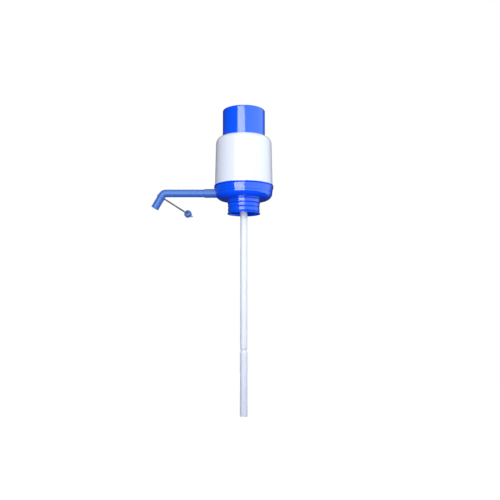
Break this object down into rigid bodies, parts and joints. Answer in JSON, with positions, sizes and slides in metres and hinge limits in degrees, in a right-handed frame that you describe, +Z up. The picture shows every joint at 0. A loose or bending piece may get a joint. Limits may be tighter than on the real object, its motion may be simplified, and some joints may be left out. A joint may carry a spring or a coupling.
{
  "type": "water jug hand pump",
  "caption": "Hand-pressed air pump for the neck of a large water jug, with bellows, bent swivelling spout, tethered dust cap and dip tube.",
  "frame": {"origin": "on the pump's axis, in the plane of the neck collar's bottom rim", "axes": "+Z up to the push cap; the spout points along -X; +Y is the side away from a viewer who has the spout on the left"},
  "size_m": [0.2259, 0.11, 0.5638],
  "materials": {
    "cap_plastic": "polished blue ABS moulding",
    "base_plastic": "polished blue ABS moulding",
    "shell_plastic": "glossy white ABS moulding",
    "collar_plastic": "soft blue polyethylene moulding",
    "spout_plastic": "blue polypropylene moulding",
    "strap_plastic": "soft blue polyethylene moulding",
    "inner_plastic": "plain natural moulding",
    "bellows_rubber": "soft moulded rubber",
    "valve_rubber": "translucent silicone rubber",
    "seal_rubber": "black nitrile rubber",
    "tube_plastic": "milky translucent polyethylene tube"
  },
  "bodies": {
    "pump_base": {"base_deck": "base_plastic", "base_bowl": "base_plastic", "shell": "shell_plastic", "neck_collar": "collar_plastic", "neck_gasket": "seal_rubber", "outlet_elbow": "spout_plastic", "outlet_nipple": "spout_plastic", "bellows": "bellows_rubber", "bellows_clamp_ring": "inner_plastic", "dip_tube_upper": "tube_plastic", "dip_tube_lower": "tube_plastic"},
    "button": {"push_cap": "cap_plastic", "bellows_top_plate": "inner_plastic"},
    "intake_flap": {"intake_valve": "valve_rubber"},
    "delivery_flap": {"delivery_valve": "valve_rubber"},
    "spout_pipe": {"spout": "spout_plastic", "spout_o_ring": "seal_rubber"},
    "strap_collar": {"strap_ring": "strap_plastic"},
    "tether": {"cap_strap": "strap_plastic"},
    "stopper": {"dust_cap": "strap_plastic"}
  },
  "joints": [
    {"name": "press_stroke", "type": "slide", "parent": "pump_base", "child": "button", "axis": [0, 0, -1], "range_m": [0, 0.036], "stiffness_N_per_m": 600, "springref_m": -0.01, "deforming": ["bellows"]},
    {"name": "intake_lift", "type": "slide", "parent": "button", "child": "intake_flap", "axis": [0, 0, -1], "range_m": [0, 0.0016], "stiffness_N_per_m": 40, "springref_m": -0.0005},
    {"name": "delivery_lift", "type": "slide", "parent": "pump_base", "child": "delivery_flap", "axis": [0, 0, -1], "range_m": [0, 0.0016], "stiffness_N_per_m": 40, "springref_m": -0.0005},
    {"name": "spout_swivel", "type": "hinge", "parent": "pump_base", "child": "spout_pipe", "pos_m": [-0.06, 0, 0.0387], "axis": [1, 0, 0], "continuous": true},
    {"name": "strap_ring_turn", "type": "hinge", "parent": "spout_pipe", "child": "strap_collar", "pos_m": [-0.15285, 0, 0.03151], "axis": [0.5, 0, 0.866], "continuous": true},
    {"name": "strap_flex", "type": "hinge", "parent": "strap_collar", "child": "tether", "pos_m": [-0.14371, 0, 0.02624], "axis": [0, 1, 0], "range_deg": [-20, 60], "stiffness_Nm_per_rad": 0.02, "springref_deg": -1.42},
    {"name": "cap_flex", "type": "hinge", "parent": "tether", "child": "stopper", "pos_m": [-0.11107, 0, 0.00544], "axis": [0.5373, 0, 0.8434], "range_deg": [-85, 85], "stiffness_Nm_per_rad": 0.01}
  ]
}
